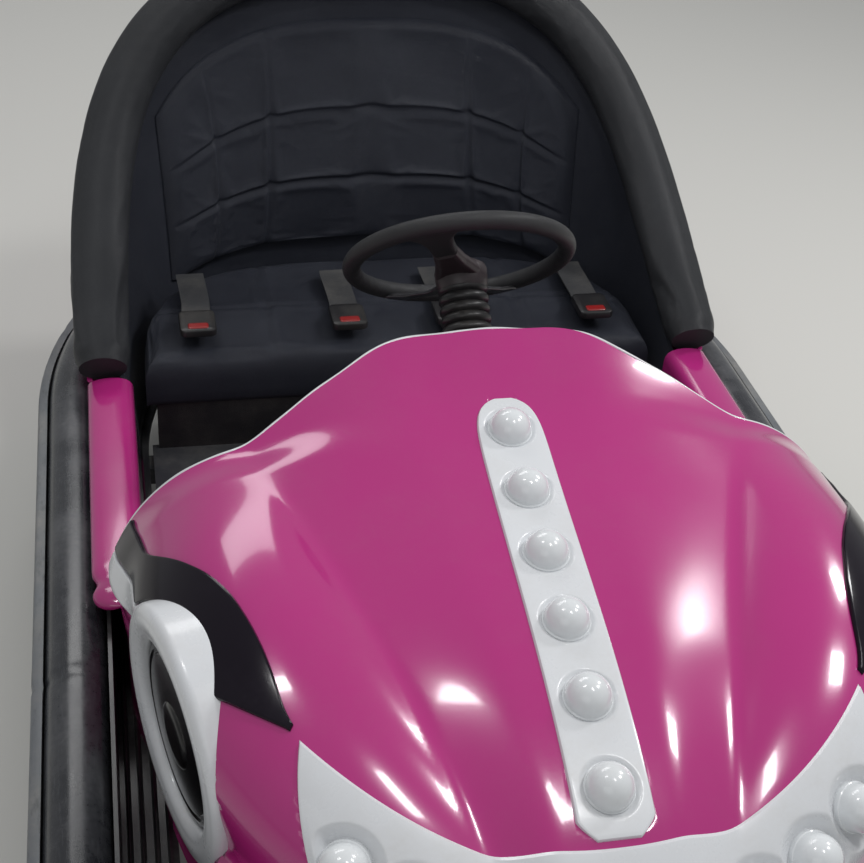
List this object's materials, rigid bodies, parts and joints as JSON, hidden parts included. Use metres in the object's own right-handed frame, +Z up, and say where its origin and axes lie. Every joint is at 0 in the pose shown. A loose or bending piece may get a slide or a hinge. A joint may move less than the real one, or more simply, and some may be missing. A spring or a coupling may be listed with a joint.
{
  "type": "bumper car",
  "caption": "Two-seat fairground bumper car with moulded nose, dome lamp strips, padded seat hoop, rubber bumper ring and a centre drive wheel.",
  "frame": {"origin": "on the floor under the middle of the bumper ring", "axes": "+Z up, -Y towards the nose, +X towards the driver's left"},
  "size_m": [1.15, 1.9498, 0.8387],
  "materials": {
    "body_gel": "gloss",
    "frame_paint": "satin",
    "floor_sheet": "satin",
    "rim_black": "satin",
    "bumper_rubber": "gloss",
    "band_rubber": "satin",
    "lamp_white": "gloss",
    "lamp_dome": "gloss",
    "arch_black": "gloss",
    "trim_white": "gloss",
    "cap_black": "gloss",
    "dash_black": "satin",
    "vinyl_navy": "satin",
    "vinyl_black": "satin",
    "webbing": "matte",
    "buckle_red": "gloss",
    "grip_black": "satin",
    "spoke_metal": "brushed",
    "boot_rubber": "satin",
    "steel": "machined",
    "cast": "painted",
    "motor_black": "satin",
    "battery_case": "matte",
    "pedal_steel": "satin",
    "wheel_tyre": "matte",
    "hub_metal": "machined"
  },
  "bodies": {
    "chassis": {"chassis_rails": "frame_paint", "cross_members": "frame_paint", "floor_pan": "floor_sheet", "bumper_rim": "rim_black", "bumper_ledge": "rim_black", "bumper_tyre": "bumper_rubber", "bumper_band": "band_rubber", "front_cowl": "body_gel", "rear_shell": "body_gel", "side_sills": "body_gel", "hood_light_strip": "lamp_white", "hood_lamps": "lamp_dome", "front_light_band": "lamp_white", "front_lamps": "lamp_dome", "arch_panels": "arch_black", "wheel_trims": "trim_white", "wheel_caps": "cap_black", "cowl_edge_trim": "trim_white", "dash_panel": "dash_black", "seat_box": "dash_black", "seat_cushion": "vinyl_navy", "seat_back": "vinyl_navy", "seat_surround": "vinyl_navy", "hoop_pad": "vinyl_black", "belt_straps": "webbing", "belt_buckles": "buckle_red", "column_jacket": "frame_paint", "column_boot": "boot_rubber", "pedal": "pedal_steel", "battery": "battery_case", "battery_tray": "frame_paint", "rear_axle": "steel", "turret": "cast", "steering_gear": "cast"},
    "steering_wheel": {"wheel_rim": "grip_black", "wheel_spokes": "spoke_metal", "steering_shaft": "steel"},
    "drive_unit": {"drive_fork": "cast", "drive_motor": "motor_black"},
    "drive_wheel": {"drive_hub": "hub_metal", "drive_tyre": "wheel_tyre"},
    "rear_wheel_left": {"rear_hub_left": "hub_metal", "rear_tyre_left": "wheel_tyre"},
    "rear_wheel_right": {"rear_hub_right": "hub_metal", "rear_tyre_right": "wheel_tyre"}
  },
  "joints": [
    {"name": "steering", "type": "hinge", "parent": "chassis", "child": "steering_wheel", "pos_m": [0, 0.035, 0.641], "axis": [0, 0.7385, 0.6743], "continuous": true},
    {"name": "drive_steer", "type": "hinge", "parent": "chassis", "child": "drive_unit", "pos_m": [0, -0.54, 0.2], "axis": [0, 0, 1], "continuous": true},
    {"name": "drive_spin", "type": "hinge", "parent": "drive_unit", "child": "drive_wheel", "pos_m": [0, -0.54, 0.1], "axis": [1, 0, 0], "continuous": true},
    {"name": "rear_spin_left", "type": "hinge", "parent": "chassis", "child": "rear_wheel_left", "pos_m": [0.34, 0.56, 0.068], "axis": [1, 0, 0], "continuous": true},
    {"name": "rear_spin_right", "type": "hinge", "parent": "chassis", "child": "rear_wheel_right", "pos_m": [-0.34, 0.56, 0.068], "axis": [1, 0, 0], "continuous": true}
  ],
  "couplings": [
    {"joint": "steering", "follows": "drive_steer", "ratio": 1}
  ]
}
